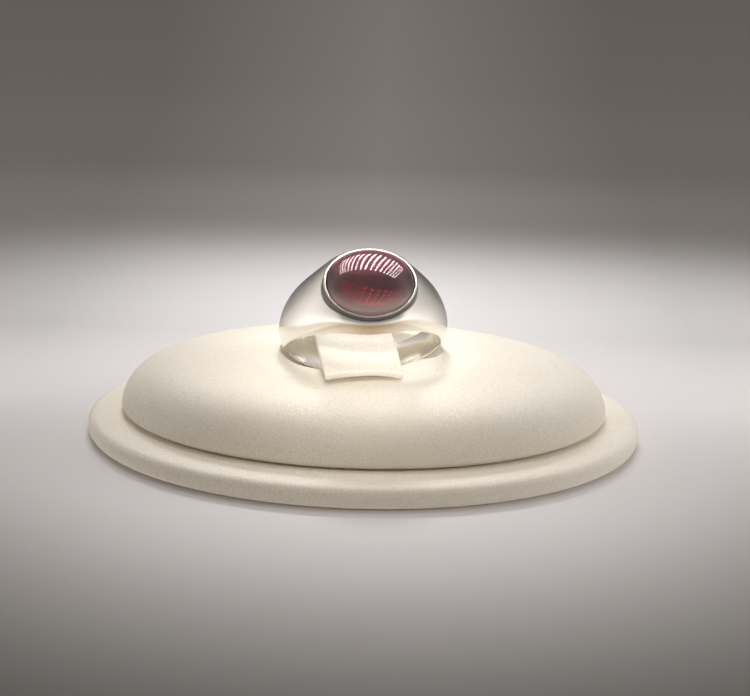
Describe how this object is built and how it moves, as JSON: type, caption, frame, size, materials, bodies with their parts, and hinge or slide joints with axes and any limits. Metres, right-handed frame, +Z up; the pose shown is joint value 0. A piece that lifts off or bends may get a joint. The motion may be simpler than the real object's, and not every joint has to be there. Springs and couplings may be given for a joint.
{
  "type": "garnet ring on an oval display stand",
  "caption": "Silver signet-style ring with an oval garnet cabochon in a rub-over bezel, held by a clip tab on a cream padded oval display stand.",
  "frame": {"origin": "middle of the stand's underside", "axes": "+X along the oval's long axis, -Y to the front where the tab's tip lies, +Z up"},
  "size_m": [0.073, 0.0542, 0.0256],
  "materials": {
    "silver": "high polish",
    "garnet": "high polish",
    "leatherette": "fine matt grain"
  },
  "bodies": {
    "root": {"ring_band": "silver", "garnet": "garnet", "stand_base": "leatherette", "stand_pad": "leatherette", "clip_tab": "leatherette"}
  },
  "joints": []
}
